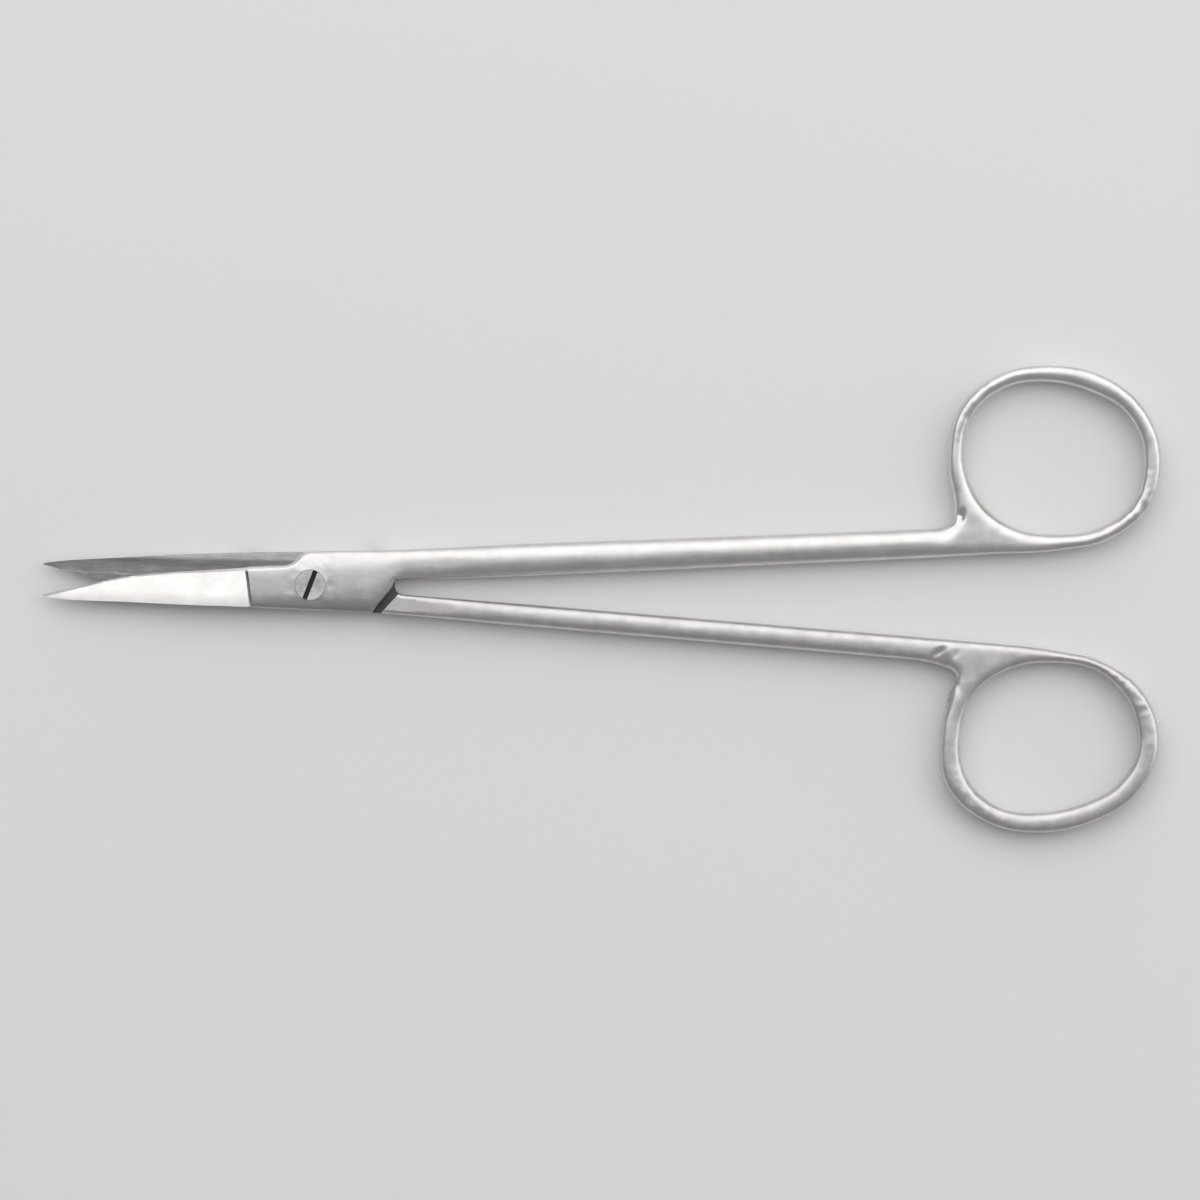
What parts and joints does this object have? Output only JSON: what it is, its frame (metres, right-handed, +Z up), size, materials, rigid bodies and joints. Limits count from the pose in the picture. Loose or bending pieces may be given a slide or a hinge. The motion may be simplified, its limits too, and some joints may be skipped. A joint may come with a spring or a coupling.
{
  "type": "surgical scissors",
  "caption": "Slim straight surgical scissors with sharp points, a screwed lap joint, long thin shanks and oval finger rings with webbed roots.",
  "frame": {"origin": "on the pivot axis, in the plane that the scissors lie on", "axes": "+X along the instrument from the tips towards the finger rings, halfway between the open blades, +Y towards the ring of the front half, +Z up out of the face with the slotted screw head, along the pivot"},
  "size_m": [0.1595, 0.0665, 0.004],
  "materials": {
    "front_steel": "satin",
    "back_steel": "satin",
    "screw_steel": "satin"
  },
  "bodies": {
    "back_half": {"back_half": "back_steel", "pivot_screw": "screw_steel"},
    "front_half": {"front_half": "front_steel"}
  },
  "joints": [
    {"name": "pivot_hinge", "type": "hinge", "parent": "back_half", "child": "front_half", "pos_m": [0, 0, 0.002], "axis": [0, 0, 1], "range_deg": [-7, 83]}
  ]
}
